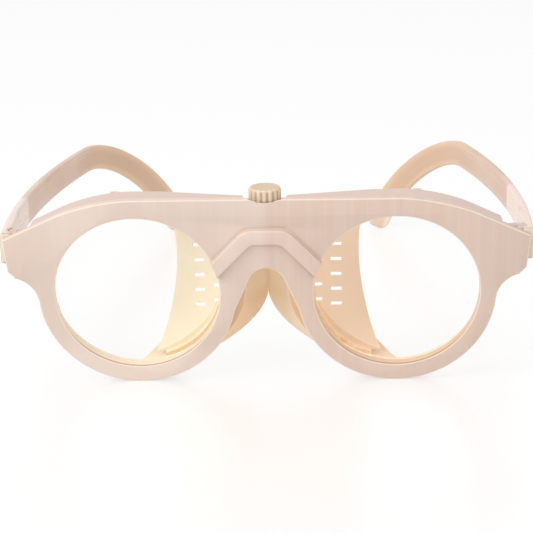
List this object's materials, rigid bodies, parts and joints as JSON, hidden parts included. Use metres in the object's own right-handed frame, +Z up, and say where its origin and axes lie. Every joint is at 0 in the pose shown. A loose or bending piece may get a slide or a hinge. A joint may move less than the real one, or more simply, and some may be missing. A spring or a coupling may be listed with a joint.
{
  "type": "welding glasses",
  "caption": "Welding glasses with a split frame clamped about its round lenses by a knurled knob, vented nose shields and hooked folding temples.",
  "frame": {"origin": "on the floor under the middle of the glasses, which stand on their rings and temple tips", "axes": "+X to the picture's right (the wearer's left), +Y back towards the ears, +Z up"},
  "size_m": [0.155, 0.1584, 0.0599],
  "materials": {
    "front_plastic": "satin",
    "rear_plastic": "satin",
    "temple_plastic": "satin",
    "knob_plastic": "satin",
    "clear_lens": "clear",
    "zinc_steel": "brushed",
    "insert_brass": "turned"
  },
  "bodies": {
    "rear_body": {"rear_frame": "rear_plastic", "left_lens": "clear_lens", "right_lens": "clear_lens", "clamp_insert": "insert_brass", "left_hinge_pin": "zinc_steel", "right_hinge_pin": "zinc_steel"},
    "front_body": {"front_frame": "front_plastic"},
    "washer_body": {"clamp_washer": "zinc_steel"},
    "knob_body": {"clamp_knob": "knob_plastic", "clamp_screw": "zinc_steel"},
    "left_temple_body": {"left_temple": "temple_plastic"},
    "right_temple_body": {"right_temple": "temple_plastic"}
  },
  "joints": [
    {"name": "front_slide", "type": "slide", "parent": "rear_body", "child": "front_body", "axis": [0, -1, 0], "range_m": [0, 0.012]},
    {"name": "knob_lift", "type": "slide", "parent": "rear_body", "child": "washer_body", "axis": [0, 0, 1], "range_m": [0, 0.0015]},
    {"name": "knob_turn", "type": "hinge", "parent": "washer_body", "child": "knob_body", "pos_m": [0, -0.07357, 0.0557], "axis": [0, 0, 1], "range_deg": [0, 1081]},
    {"name": "left_temple_fold", "type": "hinge", "parent": "rear_body", "child": "left_temple_body", "pos_m": [-0.0713, -0.06677, 0.0408], "axis": [0, 0, -1], "range_deg": [0, 80]},
    {"name": "right_temple_fold", "type": "hinge", "parent": "rear_body", "child": "right_temple_body", "pos_m": [0.0713, -0.06677, 0.0408], "axis": [0, 0, 1], "range_deg": [0, 60]}
  ],
  "couplings": [
    {"joint": "knob_turn", "follows": "knob_lift", "rad_per_m": 12566}
  ]
}
